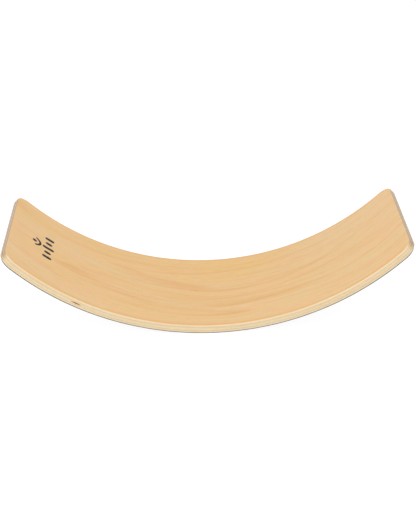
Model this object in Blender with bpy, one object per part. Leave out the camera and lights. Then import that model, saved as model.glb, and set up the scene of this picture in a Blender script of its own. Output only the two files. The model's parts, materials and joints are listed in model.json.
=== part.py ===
"""Rocker board: a stack of veneers pressed to one curve, with a felt sole under it.

The board is laid out flat, as its maker lays up the veneers, and is then wrapped round a
bend axis that runs across it. +X is along the board, +Y across it and +Z up. The origin is
the middle of the flat at the lowest point, where the felt meets the floor.
"""

import math

import bmesh
import bpy

# Driving dimensions, in metres and radians.
INNER_RADIUS = 0.500          # of the concave face
HALF_ANGLE = math.radians(45.0)
BOARD_WIDTH = 0.300
BOARD_THICKNESS = 0.015
CORNER_RADIUS = 0.025         # of the four corners, seen from above
EDGE_ROUND = 0.003            # routed along both rims
PLY_COUNT = 11                # odd, so that the stack is balanced
CROSS_PLIES = (3, 7)          # veneers whose fibres run across; those of the others bend along
GLUE_LINE = 0.0003            # clear gap between two veneers
FELT_THICKNESS = 0.0025
FELT_GAP = 0.0003             # contact adhesive between the wood and the felt
FELT_INSET = 0.005            # how far the felt stays back from the wood's edges
FELT_BEVEL = 0.0006           # soft cut edge of the felt

# How finely the curves are divided.
FACETS = 45                   # along the arc; odd, so that the lowest facet lies flat
CORNER_SEGMENTS = 5
WOOD_RIM_SEGMENTS = 3
FELT_RIM_SEGMENTS = 1

# Sizes that follow from them.
FACET_ANGLE = 2.0 * HALF_ANGLE / FACETS
BLANK_LENGTH = 2.0 * HALF_ANGLE * (INNER_RADIUS + BOARD_THICKNESS / 2.0)
PLY_PITCH = BOARD_THICKNESS / PLY_COUNT
SOLE_RADIUS = INNER_RADIUS + BOARD_THICKNESS + FELT_GAP + FELT_THICKNESS
BEND_AXIS_HEIGHT = SOLE_RADIUS * math.cos(FACET_ANGLE / 2.0)

# Colours, linear, and roughness.
FACE_COLOUR = (0.78, 0.54, 0.28)
LONG_GRAIN_COLOUR = (0.84, 0.66, 0.43)
CROSS_GRAIN_COLOUR = (0.70, 0.50, 0.29)
FELT_COLOUR = (0.09, 0.09, 0.10)
WOOD_ROUGHNESS = 0.42
FELT_ROUGHNESS = 0.95


def clear_scene():
    """Remove whatever objects the open file holds."""
    for obj in list(bpy.data.objects):
        bpy.data.objects.remove(obj)


def material(name, colour, roughness):
    """A Principled material in one colour."""
    mat = bpy.data.materials.new(name)
    mat.use_nodes = True
    shader = mat.node_tree.nodes["Principled BSDF"]
    shader.inputs["Base Color"].default_value = (*colour, 1.0)
    shader.inputs["Roughness"].default_value = roughness
    shader.inputs["Metallic"].default_value = 0.0
    mat.diffuse_color = (*colour, 1.0)
    return mat


def rounded_slab(length, width, thickness, corner, rim, rim_segments):
    """A flat slab under z = 0 with rounded corners and rounded rims, as a bmesh."""
    bm = bmesh.new()
    bmesh.ops.create_cube(bm, size=1.0)
    bmesh.ops.translate(bm, verts=bm.verts, vec=(0.0, 0.0, -0.5))
    bmesh.ops.scale(bm, verts=bm.verts, vec=(length, width, thickness))

    uprights = [e for e in bm.edges if abs(e.verts[0].co.z - e.verts[1].co.z) > thickness / 2.0]
    bmesh.ops.bevel(bm, geom=uprights, offset=corner, offset_type='OFFSET',
                    segments=CORNER_SEGMENTS, profile=0.5, affect='EDGES')

    rims = [e for e in bm.edges if abs(e.verts[0].co.z - e.verts[1].co.z) < thickness / 2.0]
    bmesh.ops.bevel(bm, geom=rims, offset=rim, offset_type='OFFSET',
                    segments=rim_segments, profile=0.5, affect='EDGES')
    return bm


def cut(bm, point, normal, keep_below=False):
    """Cut the mesh by a plane. With keep_below, drop what is above it and close the cut."""
    everything = bm.verts[:] + bm.edges[:] + bm.faces[:]
    result = bmesh.ops.bisect_plane(bm, geom=everything, plane_co=point, plane_no=normal,
                                    dist=1e-7, clear_outer=keep_below)
    if keep_below:
        rim = [g for g in result["geom_cut"] if isinstance(g, bmesh.types.BMEdge)]
        bmesh.ops.edgenet_fill(bm, edges=rim)


def cut_out_layer(bm, top, bottom):
    """Keep only the layer of the slab between two heights."""
    if top < 0.0:
        cut(bm, (0.0, 0.0, top), (0.0, 0.0, 1.0), keep_below=True)
    if bottom > -BOARD_THICKNESS:
        cut(bm, (0.0, 0.0, bottom), (0.0, 0.0, -1.0), keep_below=True)


def press(bm):
    """Wrap the flat mesh round the bend axis, which becomes its origin.

    The mesh is first cut at every station, and each strip between two stations stays flat,
    so that neighbouring layers stay exactly parallel.
    """
    strip = BLANK_LENGTH / FACETS
    for k in range(1, FACETS):
        station = k * strip - BLANK_LENGTH / 2.0
        cut(bm, (station, 0.0, 0.0), (1.0, 0.0, 0.0))

    for vert in bm.verts:
        along = vert.co.x / strip + FACETS / 2.0
        k = min(max(math.floor(along), 0), FACETS - 1)
        part = along - k
        start = k * FACET_ANGLE - HALF_ANGLE
        end = start + FACET_ANGLE
        radius = INNER_RADIUS - vert.co.z
        vert.co.x = radius * ((1.0 - part) * math.sin(start) + part * math.sin(end))
        vert.co.z = -radius * ((1.0 - part) * math.cos(start) + part * math.cos(end))


def add_piece(name, bm, mat, collection, parent):
    """Turn a bmesh into an object that hangs from the bend axis."""
    bmesh.ops.recalc_face_normals(bm, faces=bm.faces)
    mesh = bpy.data.meshes.new(name)
    bm.to_mesh(mesh)
    bm.free()
    mesh.materials.append(mat)
    mesh.shade_smooth()
    mesh.set_sharp_from_angle(angle=math.radians(30.0))
    obj = bpy.data.objects.new(name, mesh)
    obj.parent = parent
    collection.objects.link(obj)


def ply_name(index):
    """Name of a veneer, counted down from the concave face."""
    if index == 0:
        return "face_veneer"
    if index == PLY_COUNT - 1:
        return "back_veneer"
    return f"core_ply_{index:02d}"


def ply_colour(index):
    """The face has its own tone, and a cross ply shows darker end grain on the long edges."""
    if index == 0:
        return FACE_COLOUR
    return CROSS_GRAIN_COLOUR if index in CROSS_PLIES else LONG_GRAIN_COLOUR


def add_veneers(collection, parent):
    """The wood: one slab with routed rims, parted into its veneers."""
    for index in range(PLY_COUNT):
        top = -index * PLY_PITCH
        bottom = top - PLY_PITCH
        if index > 0:
            top -= GLUE_LINE / 2.0
        if index < PLY_COUNT - 1:
            bottom += GLUE_LINE / 2.0
        bm = rounded_slab(BLANK_LENGTH, BOARD_WIDTH, BOARD_THICKNESS,
                          CORNER_RADIUS, EDGE_ROUND, WOOD_RIM_SEGMENTS)
        cut_out_layer(bm, top, bottom)
        press(bm)
        name = ply_name(index)
        add_piece(name, bm, material(name, ply_colour(index), WOOD_ROUGHNESS), collection, parent)


def add_felt(collection, parent):
    """The felt sole, glued under the convex face a little back from its edges."""
    length = BLANK_LENGTH - 2.0 * FELT_INSET
    width = BOARD_WIDTH - 2.0 * FELT_INSET
    corner = CORNER_RADIUS - FELT_INSET
    bm = rounded_slab(length, width, FELT_THICKNESS, corner, FELT_BEVEL, FELT_RIM_SEGMENTS)
    drop = (0.0, 0.0, -BOARD_THICKNESS - FELT_GAP)
    bmesh.ops.translate(bm, verts=bm.verts, vec=drop)
    press(bm)
    add_piece("felt_sole", bm, material("felt_sole", FELT_COLOUR, FELT_ROUGHNESS),
              collection, parent)


def main():
    clear_scene()
    collection = bpy.data.collections.new("rocker_board")
    bpy.context.scene.collection.children.link(collection)
    bend_axis = bpy.data.objects.new("bend_axis", None)
    bend_axis.location = (0.0, 0.0, BEND_AXIS_HEIGHT)
    bend_axis.empty_display_size = 0.05
    collection.objects.link(bend_axis)
    add_veneers(collection, bend_axis)
    add_felt(collection, bend_axis)
    bpy.context.view_layer.update()


main()
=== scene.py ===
# %% [markdown]
# # A rocker board of bent plywood
#
# The board is a stack of eleven veneers, pressed to one curve in a mould and glued, with its
# rims routed round and a sheet of felt glued underneath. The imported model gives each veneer's
# place and size. Here every veneer is modelled again by hand, finely divided, and finished as
# lacquered beech, and the felt sole and a small printed figure are added.

# %% Load the fixed frame
import json
import math

import bmesh
import bpy
from mathutils import Matrix, Vector


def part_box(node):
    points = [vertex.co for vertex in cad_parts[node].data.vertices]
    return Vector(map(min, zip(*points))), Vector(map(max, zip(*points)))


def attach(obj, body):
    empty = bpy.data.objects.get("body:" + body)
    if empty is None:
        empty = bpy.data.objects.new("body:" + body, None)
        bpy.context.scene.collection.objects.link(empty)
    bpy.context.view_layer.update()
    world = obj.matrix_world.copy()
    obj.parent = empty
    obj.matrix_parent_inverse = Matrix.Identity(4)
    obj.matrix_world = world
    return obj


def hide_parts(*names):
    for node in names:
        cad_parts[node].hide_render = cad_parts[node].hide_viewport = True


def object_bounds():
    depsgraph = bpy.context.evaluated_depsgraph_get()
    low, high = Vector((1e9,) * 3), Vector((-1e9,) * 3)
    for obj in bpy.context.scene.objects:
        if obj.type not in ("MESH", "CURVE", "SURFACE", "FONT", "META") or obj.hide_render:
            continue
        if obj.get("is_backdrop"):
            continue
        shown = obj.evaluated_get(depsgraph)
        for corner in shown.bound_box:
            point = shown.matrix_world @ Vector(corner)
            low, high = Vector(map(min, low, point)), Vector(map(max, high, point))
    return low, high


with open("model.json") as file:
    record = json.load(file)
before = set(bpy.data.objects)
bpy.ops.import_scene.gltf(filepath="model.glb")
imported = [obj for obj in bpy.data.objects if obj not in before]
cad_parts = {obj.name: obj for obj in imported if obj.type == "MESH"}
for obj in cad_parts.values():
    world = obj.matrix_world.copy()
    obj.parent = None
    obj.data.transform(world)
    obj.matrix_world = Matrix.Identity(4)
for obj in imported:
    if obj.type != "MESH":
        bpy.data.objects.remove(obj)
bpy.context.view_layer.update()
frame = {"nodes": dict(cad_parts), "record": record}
print("pieces in the frame:", sorted(frame["nodes"]))

# %% [markdown]
# ## Sizes read from the frame
#
# All the veneers share one bend axis, which runs across the board above its middle. The record's
# standing face is the lowest facet of the concave face, half a facet's sagitta above the true
# arc, so the height of the axis follows from it. Each veneer's depth in the stack is its distance
# from that axis.

# %% The bend axis and the depth of each layer
FACETS = 45                       # flat facets that the frame's arc is made of
INNER_RADIUS = 0.500
EDGE_ROUND = 0.003
CORNER_RADIUS = 0.025

mounts = {mount["name"]: mount for mount in frame["record"]["mounts"]}
standing_height = mounts["standing_face"]["pos_m"][2]
half_facet = math.radians(90.0) / FACETS / 2.0
axis_height = standing_height + INNER_RADIUS * math.cos(half_facet)


def radii(node):
    """The least and greatest distance of a frame node's corners from the bend axis."""
    places = [vertex.co for vertex in frame["nodes"][node].data.vertices]
    reach = [math.hypot(place.x, axis_height - place.z) for place in places]
    return min(reach), max(reach)


PLY_NAMES = ["face_veneer"] + [f"core_ply_{n:02d}" for n in range(1, 10)] + ["back_veneer"]
outer_radius = radii("back_veneer")[1]
thickness = outer_radius - INNER_RADIUS
neutral_radius = INNER_RADIUS + thickness / 2.0
low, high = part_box("core_ply_05")
width = high.y - low.y
half_angle = max(math.atan2(v.co.x, axis_height - v.co.z)
                 for v in frame["nodes"]["core_ply_05"].data.vertices)
blank_length = 2.0 * half_angle * neutral_radius
print(f"thickness {thickness * 1000:.2f} mm, width {width * 1000:.1f} mm, "
      f"blank {blank_length * 1000:.1f} mm, half angle {math.degrees(half_angle):.2f} degrees")

# %% [markdown]
# ## The camera
#
# The board is seen from a little above and almost square on, through a long lens from nearly
# three metres away, which keeps the two ends equally large. The camera is placed by the angle it
# looks from, and then rolled by about a degree.

# %% Place the camera
VIEW_AZIMUTH = math.radians(-0.95)
VIEW_ELEVATION = math.radians(22.931)
VIEW_ROLL = math.radians(-1.16)
VIEW_DISTANCE = 2.7789
VIEW_LENS = 104.05                # millimetres, on a 36 mm wide sensor
VIEW_TARGET = Vector((0.0021, 0.0, axis_height - outer_radius + 0.0772))

back = Vector((math.sin(VIEW_AZIMUTH) * math.cos(VIEW_ELEVATION),
               -math.cos(VIEW_AZIMUTH) * math.cos(VIEW_ELEVATION),
               math.sin(VIEW_ELEVATION)))
level = Vector((math.cos(VIEW_AZIMUTH), math.sin(VIEW_AZIMUTH), 0.0))
upright = back.cross(level)
right = level * math.cos(VIEW_ROLL) + upright * math.sin(VIEW_ROLL)
up = back.cross(right)

camera_data = bpy.data.cameras.new("camera")
camera_data.sensor_width = 36.0
camera_data.lens = VIEW_LENS
camera = bpy.data.objects.new("camera", camera_data)
bpy.context.scene.collection.objects.link(camera)
camera.matrix_world = Matrix.Translation(VIEW_TARGET + back * VIEW_DISTANCE) @ Matrix(
    (right, up, back)).transposed().to_4x4()
bpy.context.scene.camera = camera
print("camera at", [round(c, 3) for c in camera.matrix_world.translation])

# %% [markdown]
# ## Working by hand in edit mode
#
# An edit-mode operator acts on whatever is selected. So each step below first picks edges or
# faces by where they lie, and then calls the operator, as a hand with a mouse would.

# %% Helpers for edit mode
TOUCH = 1e-6                      # closer than this counts as touching


def start_fresh():
    """Leave edit mode and let go of everything."""
    if bpy.context.object and bpy.context.object.mode != "OBJECT":
        bpy.ops.object.mode_set(mode="OBJECT")
    bpy.ops.object.select_all(action="DESELECT")


def work_on(obj):
    """Make one object the only selected one, and open it in edit mode, all selected."""
    start_fresh()
    obj.select_set(True)
    bpy.context.view_layer.objects.active = obj
    bpy.ops.object.mode_set(mode="EDIT")
    bpy.ops.mesh.select_all(action="SELECT")


def pick_edges(obj, wanted):
    """Select only the edges whose two ends pass the test."""
    bpy.ops.mesh.select_mode(type="EDGE")
    bpy.ops.mesh.select_all(action="DESELECT")
    cage = bmesh.from_edit_mesh(obj.data)
    for edge in cage.edges:
        edge.select_set(wanted(edge.verts[0].co, edge.verts[1].co))
    bmesh.update_edit_mesh(obj.data)


def slice_by(place, direction, **options):
    """Cut everything by a plane."""
    bpy.ops.mesh.select_all(action="SELECT")
    bpy.ops.mesh.bisect(plane_co=place, plane_no=direction, threshold=TOUCH, **options)


start_fresh()

# %% [markdown]
# ## The routed blank
#
# A slab standing on its long edge: length along X, thickness along Y with the concave side at
# +Y, width along Z. Bend bends that way up, and the board is laid down afterwards. The four
# corners get a wide bevel, and then both rims get the small one of a round-over cutter. A bevel
# in several segments is the simplest way to a true arc, and its widths stay those of the cutter.

# %% Model the blank once
CORNER_STEPS = 14
RIM_STEPS = 5


def make_blank(name, size, corner, rim, rim_steps):
    """A slab with rounded corners and rims; size is its length, thickness and width."""
    start_fresh()
    bpy.ops.mesh.primitive_cube_add(size=1.0, location=(0.0, 0.0, 0.0))
    slab = bpy.context.object
    slab.name = name
    work_on(slab)
    bpy.ops.transform.resize(value=size)
    half = size[1] / 2.0
    pick_edges(slab, lambda a, b: abs(a.y - b.y) > half)
    bpy.ops.mesh.bevel(offset=corner, offset_type="OFFSET", segments=CORNER_STEPS, affect="EDGES")
    pick_edges(slab, lambda a, b: abs(a.y - b.y) < half)
    bpy.ops.mesh.bevel(offset=rim, offset_type="OFFSET", segments=rim_steps, affect="EDGES")
    start_fresh()
    return slab


blank = make_blank("blank", (blank_length, thickness, width), CORNER_RADIUS, EDGE_ROUND, RIM_STEPS)
print("blank:", len(blank.data.vertices), "corners")

# %% [markdown]
# ## Parting, marking and bending
#
# Each veneer is a slice of that blank between two depths. Its two cut edges are eased a little,
# so that a fine groove shows where two veneers meet, as on real plywood after sanding. Before it
# is bent, each corner of the mesh remembers where it lay in the flat blank, and each face which
# way it looked: the grain then follows the bend, and end grain shows where fibres are cut across.

# %% Helpers for one layer
STATIONS = 120                    # cuts across the board, so that it bends smoothly
SMOOTH_BELOW = math.radians(25.0)  # edges flatter than this are shaded smooth


def cut_stations(obj, length):
    """Divide a layer along its length by even cuts."""
    work_on(obj)
    for k in range(1, STATIONS):
        place = (k / STATIONS - 0.5) * length
        slice_by((place, 0.0, 0.0), (1.0, 0.0, 0.0))
    start_fresh()


def remember_lay(obj):
    """Store the flat place (along, across, depth) and the flat facing in the mesh."""
    mesh = obj.data
    lay = mesh.attributes.new("lay", "FLOAT_VECTOR", "POINT")
    for vertex in mesh.vertices:
        place = vertex.co
        lay.data[vertex.index].vector = (place.x, -place.z, thickness / 2.0 - place.y)
    facing = mesh.attributes.new("facing", "FLOAT_VECTOR", "FACE")
    for face in mesh.polygons:
        n = face.normal
        facing.data[face.index].vector = (n.x, -n.z, -n.y)


def bend_and_lay_down(obj):
    """Bend the standing layer round the bend axis and turn it concave side up."""
    start_fresh()
    obj.select_set(True)
    bpy.context.view_layer.objects.active = obj
    bend = obj.modifiers.new("bend", "SIMPLE_DEFORM")
    bend.deform_method = "BEND"
    bend.deform_axis = "Z"
    bend.angle = obj.dimensions.x / neutral_radius
    bpy.ops.object.modifier_apply(modifier=bend.name)
    obj.rotation_euler = (math.radians(90.0), 0.0, 0.0)
    obj.location = (0.0, 0.0, axis_height - neutral_radius)
    bpy.ops.object.transform_apply(location=True, rotation=True, scale=True)
    bpy.ops.object.shade_smooth_by_angle(angle=SMOOTH_BELOW)
    start_fresh()


# %% Part the blank into its veneers
EASE = 0.00008                    # sanded edge of each veneer
ply_pitch = thickness / len(PLY_NAMES)


def make_veneer(index):
    """One veneer, counted down from the concave face."""
    veneer = blank.copy()
    veneer.data = blank.data.copy()
    veneer.name = veneer.data.name = f"{PLY_NAMES[index]}_wood"
    bpy.context.scene.collection.objects.link(veneer)
    top = thickness / 2.0 - index * ply_pitch
    bottom = top - ply_pitch
    cuts = []
    work_on(veneer)
    if index > 0:
        slice_by((0.0, top, 0.0), (0.0, 1.0, 0.0), clear_outer=True, use_fill=True)
        cuts.append(top)
    if index < len(PLY_NAMES) - 1:
        slice_by((0.0, bottom, 0.0), (0.0, 1.0, 0.0), clear_inner=True, use_fill=True)
        cuts.append(bottom)
    for cut in cuts:
        pick_edges(veneer, lambda a, b: abs(a.y - cut) < TOUCH and abs(b.y - cut) < TOUCH)
        bpy.ops.mesh.bevel(offset=EASE, offset_type="OFFSET", segments=1, affect="EDGES")
    start_fresh()
    cut_stations(veneer, blank_length)
    remember_lay(veneer)
    bend_and_lay_down(veneer)
    return veneer


veneers = [make_veneer(index) for index in range(len(PLY_NAMES))]
bpy.data.objects.remove(blank)
for veneer, node in zip(veneers, PLY_NAMES):
    reach = [math.hypot(v.co.x, axis_height - v.co.z) for v in veneer.data.vertices]
    frame_low, frame_high = radii(node)
    print(f"{veneer.name}: {len(veneer.data.polygons)} faces, radius "
          f"{min(reach):.5f} to {max(reach):.5f}, frame {frame_low:.5f} to {frame_high:.5f}")

# %% [markdown]
# ## The felt sole
#
# A sheet of pressed felt, cut a little smaller than the board all round and glued to the convex
# side, so that the board neither scratches the floor nor slips on it. It is a thin slab with soft
# cut edges, divided both ways, and a faint Displace modifier gives it the uneven thickness of felt
# before it is bent with the wood. The sheet is glued flat, so a cloth simulation would add nothing.

# %% Model the felt
FELT_EDGE = 0.0009
FELT_EDGE_STEPS = 3
FELT_ROWS = 56                    # divisions across the board
FELT_LUMP = 0.02                  # size of the soft lumps
FELT_UNEVEN = 0.00025

felt_low, felt_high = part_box("felt_sole")
felt_width = felt_high.y - felt_low.y
felt_inset = (width - felt_width) / 2.0
felt_length = blank_length - 2.0 * felt_inset
felt_thickness = radii("felt_sole")[1] - outer_radius - EASE

felt = make_blank("felt_sheet", (felt_length, felt_thickness, felt_width),
                  CORNER_RADIUS - felt_inset, FELT_EDGE, FELT_EDGE_STEPS)
work_on(felt)
bpy.ops.transform.translate(value=(0.0, -thickness / 2.0 - EASE - felt_thickness / 2.0, 0.0))
for row in range(1, FELT_ROWS):
    slice_by((0.0, 0.0, (row / FELT_ROWS - 0.5) * felt_width), (0.0, 0.0, 1.0))
cut_stations(felt, felt_length)
remember_lay(felt)

lumps = bpy.data.textures.new("felt_lumps", "CLOUDS")
lumps.noise_scale = FELT_LUMP
felt.select_set(True)
bpy.context.view_layer.objects.active = felt
uneven = felt.modifiers.new("uneven", "DISPLACE")
uneven.texture = lumps
uneven.strength = FELT_UNEVEN
bpy.ops.object.modifier_apply(modifier=uneven.name)
bend_and_lay_down(felt)
print(f"felt {felt_length * 1000:.0f} x {felt_width * 1000:.0f} x {felt_thickness * 1000:.1f} mm, "
      f"{len(felt.data.polygons)} faces")

# %% [markdown]
# ## The printed figure
#
# Boards of this kind carry a small black print near one end. Here it is a plain balance scale: a
# row of short bars, longest in the middle, and beyond it a bowl-shaped stroke with a ball in it.
#
# A bar starts as a disc that is pulled apart into round ends. The bowl starts as a ring, which is a
# disc whose inside is inset and cut away, and then a little over half of it is cut off. The whole
# figure is divided finely, given the thickness of a film of ink and bent with the same bend as the
# wood, so that it hugs the face.

# %% Helpers for flat shapes
BAR_CORNERS = 24
BALL_CORNERS = 32
BOWL_CORNERS = 64


def add_disc(corners, size, along, across):
    """A flat disc lying on the concave side of the unbent board."""
    start_fresh()
    bpy.ops.mesh.primitive_circle_add(vertices=corners, radius=size, fill_type="NGON",
                                      location=(along, 0.0, -across),
                                      rotation=(math.radians(90.0), 0.0, 0.0))
    disc = bpy.context.object
    bpy.ops.object.transform_apply(location=True, rotation=True, scale=True)
    return disc


def add_bar(length, breadth, along, across):
    """A bar with round ends: the two halves of a disc are pulled apart."""
    bar = add_disc(BAR_CORNERS, breadth / 2.0, along, across)
    work_on(bar)
    reach = (length - breadth) / 2.0
    pick_edges(bar, lambda a, b: min(a.x, b.x) > along - TOUCH)
    bpy.ops.transform.translate(value=(reach, 0.0, 0.0))
    pick_edges(bar, lambda a, b: max(a.x, b.x) < along - TOUCH)
    bpy.ops.transform.translate(value=(-reach, 0.0, 0.0))
    start_fresh()
    return bar


def add_bowl(size, stroke, along, opens_at):
    """A thick arc: a ring cut by a plane across the board, opens_at times its size from its middle."""
    bowl = add_disc(BOWL_CORNERS, size, along, 0.0)
    work_on(bowl)
    bpy.ops.mesh.inset(thickness=stroke, depth=0.0)
    bpy.ops.mesh.delete(type="FACE")
    slice_by((along + size * opens_at, 0.0, 0.0), (1.0, 0.0, 0.0), clear_inner=True)
    start_fresh()
    return bowl


# %% Draw the scale, the bowl and the ball
INK_FILM = 0.00006
FIGURE_ALONG = math.radians(-35.6) * neutral_radius
BAR_BREADTH = 0.0098
BAR_STEP = 0.0200
BAR_LENGTHS = (0.0200, 0.0145, 0.0250, 0.0145, 0.0200)
BOWL_SIZE = 0.0175
BOWL_STROKE = 0.0050
BOWL_OPENS_AT = 0.25              # share of its size, from its middle
BOWL_ALONG = FIGURE_ALONG - 0.0325
BALL_SIZE = 0.0048
BALL_RISES = 0.15                 # share of the bowl's size, from its middle

middle_bar = len(BAR_LENGTHS) // 2
bars = [add_bar(length, BAR_BREADTH, FIGURE_ALONG, (k - middle_bar) * BAR_STEP)
        for k, length in enumerate(BAR_LENGTHS)]
bowl = add_bowl(BOWL_SIZE, BOWL_STROKE, BOWL_ALONG, BOWL_OPENS_AT)
ball = add_disc(BALL_CORNERS, BALL_SIZE, BOWL_ALONG + BOWL_SIZE * BALL_RISES, 0.0)
print("drawn:", len(bars), "bars, a bowl and a ball")

# %% Give the ink its film and bend it onto the face
FIGURE_CUTS = 24                  # cuts across the figure, so that it bends smoothly

start_fresh()
for shape in (*bars, bowl, ball):
    shape.select_set(True)
bpy.context.view_layer.objects.active = bowl
bpy.ops.object.join()
figure = bowl
figure.name = figure.data.name = "printed_figure"
work_on(figure)
bpy.ops.mesh.normals_make_consistent(inside=False)
bpy.ops.transform.translate(value=(0.0, thickness / 2.0, 0.0))
figure_low = min(v.co.x for v in figure.data.vertices)
figure_high = max(v.co.x for v in figure.data.vertices)
for k in range(1, FIGURE_CUTS):
    place = figure_low + (figure_high - figure_low) * k / FIGURE_CUTS
    slice_by((place, 0.0, 0.0), (1.0, 0.0, 0.0))
start_fresh()
figure.select_set(True)
bpy.context.view_layer.objects.active = figure
film = figure.modifiers.new("film", "SOLIDIFY")
film.thickness = 2.0 * INK_FILM
film.offset = 0.0
bpy.ops.object.modifier_apply(modifier=film.name)
remember_lay(figure)
bend_and_lay_down(figure)
print("printed figure:", len(figure.data.polygons), "faces,",
      round(1000 * (figure_high - figure_low)), "mm long")

# %% [markdown]
# ## Materials: small helpers
#
# Every finish here is made of nodes. A few short functions keep the node code readable: one adds
# a node and fills its sockets, one does a sum, one mixes two colours, and one turns a colour as
# it is read off a paint chart into the linear values that Blender works in.

# %% Node helpers
def paint(red, green, blue):
    """A chart colour, 0 to 255 a channel, as a linear colour."""
    linear = []
    for channel in (red, green, blue):
        c = channel / 255.0
        linear.append(c / 12.92 if c <= 0.04045 else ((c + 0.055) / 1.055) ** 2.4)
    return (*linear, 1.0)


def put(tree, kind, settings=None, **sockets):
    """Add a node. A socket takes a plain value or another node's output."""
    made = tree.nodes.new("ShaderNode" + kind)
    for name, value in (settings or {}).items():
        setattr(made, name, value)
    for name, value in sockets.items():
        join(tree, made.inputs[name.replace("_", " ")], value)
    return made


def join(tree, socket, value):
    """Fill one socket with a value, or link an output to it."""
    if isinstance(value, bpy.types.NodeSocket):
        tree.links.new(value, socket)
    else:
        socket.default_value = value


# %% Sums, mixes and fades
def reckon(tree, operation, *values):
    """A Math node."""
    made = tree.nodes.new("ShaderNodeMath")
    made.operation = operation
    for socket, value in zip(made.inputs, values):
        join(tree, socket, value)
    return made.outputs[0]


def vector(tree, operation, *values):
    """A Vector Math node."""
    made = tree.nodes.new("ShaderNodeVectorMath")
    made.operation = operation
    for socket, value in zip(made.inputs, values):
        join(tree, socket, value)
    return made.outputs["Value"] if operation in ("LENGTH", "DOT_PRODUCT") else made.outputs[0]


def mix(tree, share, first, second, way="MIX"):
    """Mix two colours."""
    made = tree.nodes.new("ShaderNodeMix")
    made.data_type = "RGBA"
    made.blend_type = way
    join(tree, made.inputs[0], share)
    join(tree, made.inputs[6], first)
    join(tree, made.inputs[7], second)
    return made.outputs[2]


def fade(tree, value, start, end, low=0.0, high=1.0):
    """A smooth step from low at start to high at end."""
    made = put(tree, "MapRange", {"interpolation_type": "SMOOTHSTEP"}, Value=value,
               From_Min=start, From_Max=end, To_Min=low, To_Max=high)
    return made.outputs[0]


# %% Noise, and an empty material
def noise(tree, place, stretch, detail=2.0, roughness=0.5, distortion=0.0):
    """Noise over a place stretched by so many lumps a metre along each axis."""
    made = put(tree, "TexNoise", None, Vector=vector(tree, "MULTIPLY", place, stretch),
               Scale=1.0, Detail=detail, Roughness=roughness, Distortion=distortion)
    return made.outputs[0]


def new_material(name):
    """An empty material with its surface shader; returns the material, its tree and the shader."""
    made = bpy.data.materials.new(name)
    made.use_nodes = True
    tree = made.node_tree
    tree.nodes.clear()
    shader = tree.nodes.new("ShaderNodeBsdfPrincipled")
    output = tree.nodes.new("ShaderNodeOutputMaterial")
    tree.links.new(shader.outputs[0], output.inputs["Surface"])
    return made, tree, shader


# %% [markdown]
# ## Lacquered beech
#
# An image of wood would have to be laid over a bent, routed shape. A pattern made by nodes in the
# flat lay-up is simpler: it is stretched long along the fibres and follows the bend by itself. A
# slow noise lets the fibres wander sideways. The wood turns from pale to warm in a broad figure,
# with blushes in it. Late wood shows as the contour lines of one very long noise, which gives the
# pointed flames of flat-cut veneer. Narrow streaks, fine fibres and short dark flecks sit on top.
#
# Where a face cuts across the fibres it shows end grain, which is darker and greyer, and next to a
# neighbouring veneer the glue line shows as a hair of amber. A darker line along the two long edges
# of the face is painted shade, heavier at the far edge, and just outside that line a pale tint on
# the rounded rim is a painted highlight.

# %% The tones of the wood
FACE_TONES = {"pale": paint(218, 185, 134), "warm": paint(220, 180, 120),
              "blush": paint(224, 179, 130), "streak": paint(216, 167, 105),
              "end_grain": paint(176, 150, 122)}
LONG_TONES = {"pale": paint(228, 210, 174), "warm": paint(225, 204, 165),
              "blush": paint(224, 200, 162), "streak": paint(219, 194, 153),
              "end_grain": paint(162, 139, 115)}
CROSS_TONES = {"pale": paint(218, 196, 162), "warm": paint(214, 188, 152),
               "blush": paint(212, 184, 148), "streak": paint(208, 180, 142),
               "end_grain": paint(212, 191, 154)}
FLECK_TONE = paint(150, 98, 56)
GLUE_TONE = paint(168, 126, 80)
GOLDEN_TONE = paint(221, 176, 96)
EDGE_SHADE_TONE = paint(214, 154, 86)
RIM_HIGHLIGHT_TONE = paint(232, 213, 180)
KNOT_RIM_TONE = paint(156, 84, 48)
KNOT_CORE_TONE = paint(120, 50, 26)

# %% [markdown]
# ### The grain, layer by layer
#
# Each layer is a noise over the flat lay-up. A seed shifts the place where it is read, so that no
# two veneers are alike, and a very slow noise pushes that place sideways. The counts are lumps a
# metre: few along the fibres, many across them, which draws the lumps out into streaks.

# %% The layers of the grain
ALONG_BOARD = 0
ACROSS_BOARD = 1
GRAIN_SWAY = 0.110                # how far the grain wanders sideways


def along_fibres(fibre, lengthwise, crosswise):
    """Lumps a metre: few along the fibres, many across them."""
    counts = [crosswise, crosswise, crosswise]
    counts[fibre] = lengthwise
    return tuple(counts)


def place_in_wood(tree, lay, seed, fibre):
    """The place in the lay-up, shifted by the seed and swayed sideways."""
    grain = vector(tree, "ADD", lay, (1.7 * seed, 0.9 * seed, 0.43 * seed))
    drift = noise(tree, grain, along_fibres(fibre, 2.4, 3.2), 1.0)
    sway = reckon(tree, "MULTIPLY", reckon(tree, "SUBTRACT", drift, 0.5), GRAIN_SWAY)
    sideways = {"Y" if fibre == ALONG_BOARD else "X": sway}
    return vector(tree, "ADD", grain, put(tree, "CombineXYZ", None, **sideways).outputs[0])


def grain_layers(tree, grain, fibre):
    """The noises of the grain, from the broadest to the finest."""
    def layer(lengthwise, crosswise, *settings):
        return noise(tree, grain, along_fibres(fibre, lengthwise, crosswise), *settings)

    return {"flame": layer(1.3, 11.0, 1.0, 0.4),
            "broad": layer(1.6, 17.0, 2.0, 0.5, 0.4),
            "blotches": layer(9.0, 34.0, 2.0, 0.6, 0.5),
            "figure": layer(3.4, 62.0, 3.0, 0.55, 0.8),
            "streaks": layer(7.0, 230.0, 3.0, 0.68, 0.3),
            "fibres": layer(45.0, 1900.0, 2.0, 0.6)}


# %% Late wood and flecks
YEAR_RINGS = 7.0                  # contour lines of late wood in the flat-cut figure


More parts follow.
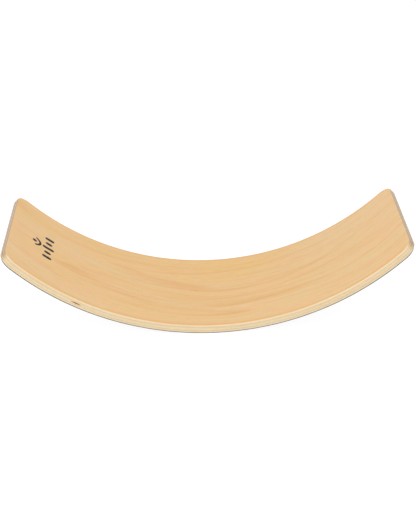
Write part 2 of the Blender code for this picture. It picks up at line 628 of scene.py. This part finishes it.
def late_wood(tree, layers, along):
    """Contour lines of the flame: each starts softly, ends sharply, and comes and goes."""
    ring = reckon(tree, "FRACT", reckon(tree, "MULTIPLY", layers["flame"], YEAR_RINGS))
    line = reckon(tree, "MULTIPLY", fade(tree, ring, 0.60, 0.86), fade(tree, ring, 1.0, 0.90))
    line = reckon(tree, "MULTIPLY", line, fade(tree, layers["figure"], 0.36, 0.62, 0.15, 0.95))
    return reckon(tree, "MULTIPLY", line, fade(tree, along, 0.12, 0.28, 1.0, 0.4))


def short_flecks(tree, grain, fibre):
    """The short dark flecks of beech: some of the cells of a stretched cell pattern."""
    cells = put(tree, "TexVoronoi", {"feature": "F1"}, Scale=1.0, Randomness=1.0,
                Vector=vector(tree, "MULTIPLY", grain, along_fibres(fibre, 210.0, 1500.0)))
    shape = fade(tree, cells.outputs["Distance"], 0.34, 0.16)
    chosen = put(tree, "SeparateColor", None, Color=cells.outputs["Color"]).outputs[0]
    return reckon(tree, "MULTIPLY", shape, fade(tree, chosen, 0.62, 0.7))


# %% The colour of the grain
def grain_colour(tree, layers, tones, along, across, on_top):
    """Broad changes first, then blushes, late wood and streaks. The face alone is more golden
    towards one long edge, and paler towards one end."""
    golden = reckon(tree, "MULTIPLY", on_top, fade(tree, across, 0.0, 0.13, 0.0, 0.62))
    golden = reckon(tree, "MULTIPLY", golden, fade(tree, along, 0.25, 0.05))
    paler_to_one_end = reckon(tree, "MULTIPLY", on_top, fade(tree, along, 0.06, 0.22, 0.0, 0.70))
    tone = mix(tree, fade(tree, layers["broad"], 0.36, 0.64), tones["warm"], tones["pale"])
    tone = mix(tree, paler_to_one_end, tone, tones["pale"])
    tone = mix(tree, golden, tone, GOLDEN_TONE)
    tone = mix(tree, fade(tree, layers["blotches"], 0.42, 0.66, 0.0, 0.6), tone, tones["blush"])
    tone = mix(tree, fade(tree, layers["figure"], 0.50, 0.72, 0.0, 0.45), tone, tones["streak"])
    tone = mix(tree, late_wood(tree, layers, along), tone, tones["streak"])
    tone = mix(tree, fade(tree, layers["streaks"], 0.52, 0.72, 0.0, 0.65), tone, tones["streak"])
    return mix(tree, fade(tree, layers["streaks"], 0.46, 0.28, 0.0, 0.60), tone, tones["pale"])


def show_end_grain(tree, tone, facing, fibre, end_grain):
    """Turn to the end grain's colour where a face cuts across the fibres."""
    axis = (1.0, 0.0, 0.0) if fibre == ALONG_BOARD else (0.0, 1.0, 0.0)
    across_cut = reckon(tree, "ABSOLUTE", vector(tree, "DOT_PRODUCT", facing, axis))
    return mix(tree, fade(tree, across_cut, 0.55, 0.98), tone, end_grain)


def show_fibres(tree, tone, fibres, flecks):
    """Lighten and darken fibre by fibre, and lay the flecks over them."""
    light = fade(tree, fibres, 0.25, 0.75, 0.90, 1.06)
    grey = put(tree, "CombineColor", None, Red=light, Green=light, Blue=light).outputs[0]
    tone = mix(tree, 1.0, tone, grey, "MULTIPLY")
    return mix(tree, reckon(tree, "MULTIPLY", flecks, 0.25), tone, FLECK_TONE)


# %% [markdown]
# ### Glue, edges and knots
#
# The glue lines are marks of the work rather than of the tree, and the edge lines are painted shade
# and a painted highlight. Each is placed by where it lies on the board: by its depth in the stack,
# by its distance from an edge, or by its distance from a knot.

# %% Glue lines and edges
GLUE_SHOWS = 0.00012              # half the breadth of a glue line
half_size = (blank_length / 2.0 - CORNER_RADIUS, width / 2.0 - CORNER_RADIUS, 0.0)


def draw_glue(tree, tone, depth, glue_depths):
    """A hair of glue at each depth where two veneers meet."""
    for glue_depth in glue_depths:
        gap = reckon(tree, "ABSOLUTE", reckon(tree, "SUBTRACT", depth, glue_depth))
        hair = fade(tree, gap, GLUE_SHOWS, GLUE_SHOWS * 0.6, 0.0, 0.5)
        tone = mix(tree, hair, tone, GLUE_TONE)
    return tone


def distance_from_rim(tree, lay):
    """How far a place lies inside the board's outline, round corners included."""
    flat = vector(tree, "MULTIPLY", vector(tree, "ABSOLUTE", lay), (1.0, 1.0, 0.0))
    beyond = vector(tree, "SUBTRACT", flat, half_size)
    outside = vector(tree, "LENGTH", vector(tree, "MAXIMUM", beyond, (0.0, 0.0, 0.0)))
    parts = put(tree, "SeparateXYZ", None, Vector=beyond)
    inside = reckon(tree, "MAXIMUM", parts.outputs[0], parts.outputs[1])
    inside = reckon(tree, "MINIMUM", inside, 0.0)
    return reckon(tree, "SUBTRACT", CORNER_RADIUS, reckon(tree, "ADD", outside, inside))


def paint_edge_shade_and_highlight(tree, tone, lay, across, depth, on_top):
    """Painted shade along both long edges of the face, and a painted highlight on the rim."""
    half_width = width / 2.0
    side = reckon(tree, "ABSOLUTE", across)
    # Painted shade: a darker line along both long edges of the face, heavier towards the far edge.
    painted_edge_shade = fade(tree, side, half_width - 0.0090, half_width - 0.0035)
    painted_edge_shade = reckon(tree, "MULTIPLY", painted_edge_shade, on_top)
    painted_edge_shade = reckon(tree, "MULTIPLY", painted_edge_shade, fade(tree, across, -0.1, 0.1, 0.48, 0.80))
    tone = mix(tree, painted_edge_shade, tone, EDGE_SHADE_TONE)

    # Painted highlight: a paler tint on the rounded rim of the long edges, near the face.
    painted_rim_highlight = fade(tree, distance_from_rim(tree, lay), 0.0018, 0.0010)
    painted_rim_highlight = reckon(tree, "MULTIPLY", painted_rim_highlight, fade(tree, depth, 0.0026, 0.0018))
    painted_rim_highlight = reckon(tree, "MULTIPLY", painted_rim_highlight, fade(tree, side, half_width - 0.012, half_width - 0.005))
    return mix(tree, reckon(tree, "MULTIPLY", painted_rim_highlight, 0.55), tone, RIM_HIGHLIGHT_TONE)


# %% Knots
def draw_knot(tree, tone, lay, layers, place, size):
    """A small knot, drawn out along the board, with a ragged edge and a dark core."""
    away = vector(tree, "DIVIDE", vector(tree, "SUBTRACT", lay, place), size)
    ragged = reckon(tree, "ADD", vector(tree, "LENGTH", away),
                    fade(tree, layers["streaks"], 0.3, 0.7, -0.30, 0.30))
    ragged = reckon(tree, "ADD", ragged, fade(tree, layers["fibres"], 0.3, 0.7, -0.20, 0.20))
    tone = mix(tree, fade(tree, ragged, 1.0, 0.7, 0.0, 0.9), tone, KNOT_RIM_TONE)
    return mix(tree, fade(tree, ragged, 0.75, 0.4), tone, KNOT_CORE_TONE)


# %% [markdown]
# ### The whole finish
#
# The tone is built up in order: the wood, what the saw and the glue leave, and then a painted
# shade and a painted highlight along the edges. The lacquer itself is a thin, soft coat, and the
# fibres change its roughness and raise it a little.

# %% The wood finish
def wood(name, seed, fibre, tones, glue_depths, knots=()):
    """Beech veneer under clear lacquer."""
    made, tree, shader = new_material(name)
    lay = put(tree, "Attribute", {"attribute_name": "lay"}).outputs["Vector"]
    facing = put(tree, "Attribute", {"attribute_name": "facing"}).outputs["Vector"]
    along, across, depth = put(tree, "SeparateXYZ", None, Vector=lay).outputs
    on_top = fade(tree, depth, 0.0011, 0.0004)
    grain = place_in_wood(tree, lay, seed, fibre)
    layers = grain_layers(tree, grain, fibre)
    flecks = short_flecks(tree, grain, fibre)

    tone = grain_colour(tree, layers, tones, along, across, on_top)
    tone = show_end_grain(tree, tone, facing, fibre, tones["end_grain"])
    tone = show_fibres(tree, tone, layers["fibres"], flecks)
    tone = draw_glue(tree, tone, depth, glue_depths)
    tone = paint_edge_shade_and_highlight(tree, tone, lay, across, depth, on_top)
    for place, size in knots:
        tone = draw_knot(tree, tone, lay, layers, place, size)

    height = reckon(tree, "SUBTRACT", reckon(tree, "MULTIPLY", layers["fibres"], 0.35), flecks)
    bump = put(tree, "Bump", None, Strength=0.35, Distance=0.00005, Height=height)
    join(tree, shader.inputs["Base Color"], tone)
    join(tree, shader.inputs["Roughness"], fade(tree, layers["fibres"], 0.2, 0.8, 0.52, 0.40))
    join(tree, shader.inputs["Normal"], bump.outputs[0])
    shader.inputs["IOR"].default_value = 1.45
    shader.inputs["Specular IOR Level"].default_value = 0.30
    shader.inputs["Coat Weight"].default_value = 0.06
    shader.inputs["Coat Roughness"].default_value = 0.25
    return made


# %% [markdown]
# ### Finish the veneers
#
# Two of the core veneers have their fibres across the board, and all the others along it. One
# small knot shows on the near long edge, in the three veneers in the middle of the stack.

# %% Give each veneer its finish and its place in the frame
CROSS_PLIES = (3, 7)
KNOT_PLIES = (4, 5, 6)
KNOT_PLACE = (math.radians(-27.4) * neutral_radius, -width / 2.0, thickness / 2.0)
KNOT_SIZE = (0.0092, 0.0040, 0.0014)
FACE_SEED = 3
CORE_SEED = 5


def finish_of(index):
    """The finish of a veneer, counted down from the concave face."""
    glue_depths = [edge * ply_pitch for edge in (index, index + 1) if 0 < edge < len(PLY_NAMES)]
    if index == 0:
        return wood("beech_face", FACE_SEED, ALONG_BOARD, FACE_TONES, glue_depths)
    if index in CROSS_PLIES:
        return wood(f"beech_cross_{index}", CORE_SEED + index, ACROSS_BOARD, CROSS_TONES, glue_depths)
    knots = [(KNOT_PLACE, KNOT_SIZE)] if index in KNOT_PLIES else ()
    return wood(f"beech_long_{index}", CORE_SEED + index, ALONG_BOARD, LONG_TONES, glue_depths, knots)


for index, veneer in enumerate(veneers):
    veneer.data.materials.clear()
    veneer.data.materials.append(finish_of(index))
    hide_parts(PLY_NAMES[index])
    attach(veneer, "root")
print("wood finishes:", len(veneers))

# %% [markdown]
# ## Pressed felt
#
# Felt has no weave: it is a mat of fibres. Its grey is made of darker and lighter tufts, a few
# long pale hairs, and a rough, soft surface with some sheen and hardly any gloss.

# %% The felt finish
def pressed_felt(name, dark, light, hair):
    """Grey pressed felt."""
    made, tree, shader = new_material(name)
    lay = put(tree, "Attribute", {"attribute_name": "lay"}).outputs["Vector"]
    patches = noise(tree, lay, (26.0, 26.0, 26.0), 3.0, 0.6)
    tufts = noise(tree, lay, (700.0, 700.0, 700.0), 4.0, 0.7, 1.2)
    hairs = noise(tree, lay, (380.0, 900.0, 700.0), 2.0, 0.5, 6.0)
    tone = mix(tree, fade(tree, tufts, 0.30, 0.70), dark, light)
    tone = mix(tree, fade(tree, patches, 0.35, 0.65, 0.0, 0.35), tone, dark)
    hair_line = reckon(tree, "SUBTRACT", 1.0, fade(tree, reckon(tree, "ABSOLUTE", reckon(
        tree, "SUBTRACT", hairs, 0.5)), 0.0, 0.018))
    tone = mix(tree, reckon(tree, "MULTIPLY", hair_line, 0.5), tone, hair)
    height = reckon(tree, "ADD", tufts, reckon(tree, "MULTIPLY", hair_line, 0.35))
    bump = put(tree, "Bump", None, Strength=0.8, Distance=0.0005, Height=height)
    tree.links.new(tone, shader.inputs["Base Color"])
    tree.links.new(bump.outputs[0], shader.inputs["Normal"])
    shader.inputs["Roughness"].default_value = 0.95
    shader.inputs["Specular IOR Level"].default_value = 0.15
    shader.inputs["Sheen Weight"].default_value = 0.35
    shader.inputs["Sheen Roughness"].default_value = 0.5
    return made


felt.name = felt.data.name = "felt_sole_sheet"
felt.data.materials.clear()
felt.data.materials.append(pressed_felt("grey_felt", paint(66, 67, 70), paint(104, 105, 108),
                                        paint(150, 150, 150)))
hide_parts("felt_sole")
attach(felt, "root")

# %% [markdown]
# ## Ink
#
# Screen-printed ink on lacquer is matt black, a little thinner where the grain stands up.

# %% The ink finish
def black_ink(name):
    """Matt black print with a trace of the grain in it."""
    made, tree, shader = new_material(name)
    lay = put(tree, "Attribute", {"attribute_name": "lay"}).outputs["Vector"]
    fibres = noise(tree, lay, (45.0, 1900.0, 1900.0), 2.0, 0.6)
    tone = mix(tree, fade(tree, fibres, 0.55, 0.8, 0.0, 0.5), paint(12, 12, 14),
               paint(38, 34, 31))
    tree.links.new(tone, shader.inputs["Base Color"])
    tree.links.new(fade(tree, fibres, 0.2, 0.8, 0.62, 0.5), shader.inputs["Roughness"])
    shader.inputs["Specular IOR Level"].default_value = 0.25
    return made


figure.data.materials.clear()
figure.data.materials.append(black_ink("black_ink"))
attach(figure, "root")

# %% [markdown]
# ## Floor and light
#
# A pale matt floor reaches past every view, and glows like the top of a light table.
# The sky is plain white, and one large soft lamp above the front gives the curve its shading.

# %% Floor
FLOOR_SIZE = 60.0
FLOOR_GREY = 0.20
FLOOR_GLOW = 0.92

bpy.ops.mesh.primitive_plane_add(size=FLOOR_SIZE, location=(0.0, 0.0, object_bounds()[0].z))
floor = bpy.context.object
floor.name = "floor"
floor_paint, tree, shader = new_material("floor_paint")
shader.inputs["Base Color"].default_value = (FLOOR_GREY, FLOOR_GREY, FLOOR_GREY, 1.0)
shader.inputs["Roughness"].default_value = 0.9
shader.inputs["Specular IOR Level"].default_value = 0.1
shader.inputs["Emission Color"].default_value = (1.0, 1.0, 1.0, 1.0)
shader.inputs["Emission Strength"].default_value = FLOOR_GLOW
floor.data.materials.append(floor_paint)
floor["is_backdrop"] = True

# %% Sky and lamp
SKY_STRENGTH = 1.0
LAMP_SIZE = 2.5
LAMP_POWER = 22.0                 # watts
LAMP_PLACE = Vector((-0.8, -1.6, 2.4))

world = bpy.data.worlds.new("studio")
world.use_nodes = True
sky = world.node_tree.nodes["Background"]
sky.inputs["Color"].default_value = (1.0, 1.0, 1.0, 1.0)
sky.inputs["Strength"].default_value = SKY_STRENGTH
bpy.context.scene.world = world

lamp_data = bpy.data.lights.new("soft_lamp", "AREA")
lamp_data.shape = "SQUARE"
lamp_data.size = LAMP_SIZE
lamp_data.energy = LAMP_POWER
lamp = bpy.data.objects.new("soft_lamp", lamp_data)
bpy.context.scene.collection.objects.link(lamp)
towards_board = (LAMP_PLACE - VIEW_TARGET).to_track_quat("Z", "Y")
lamp.matrix_world = Matrix.Translation(LAMP_PLACE) @ towards_board.to_matrix().to_4x4()
print("lamp at", list(LAMP_PLACE))

bpy.context.scene.view_settings.view_transform = "Standard"

# %% [markdown]
# ## The finished size
#
# The finished model's box is printed. The finished model may not outgrow the frame.

# %% Print the finished box
low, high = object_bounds()
print("finished box, mm:", [round(1000 * side, 1) for side in high - low])
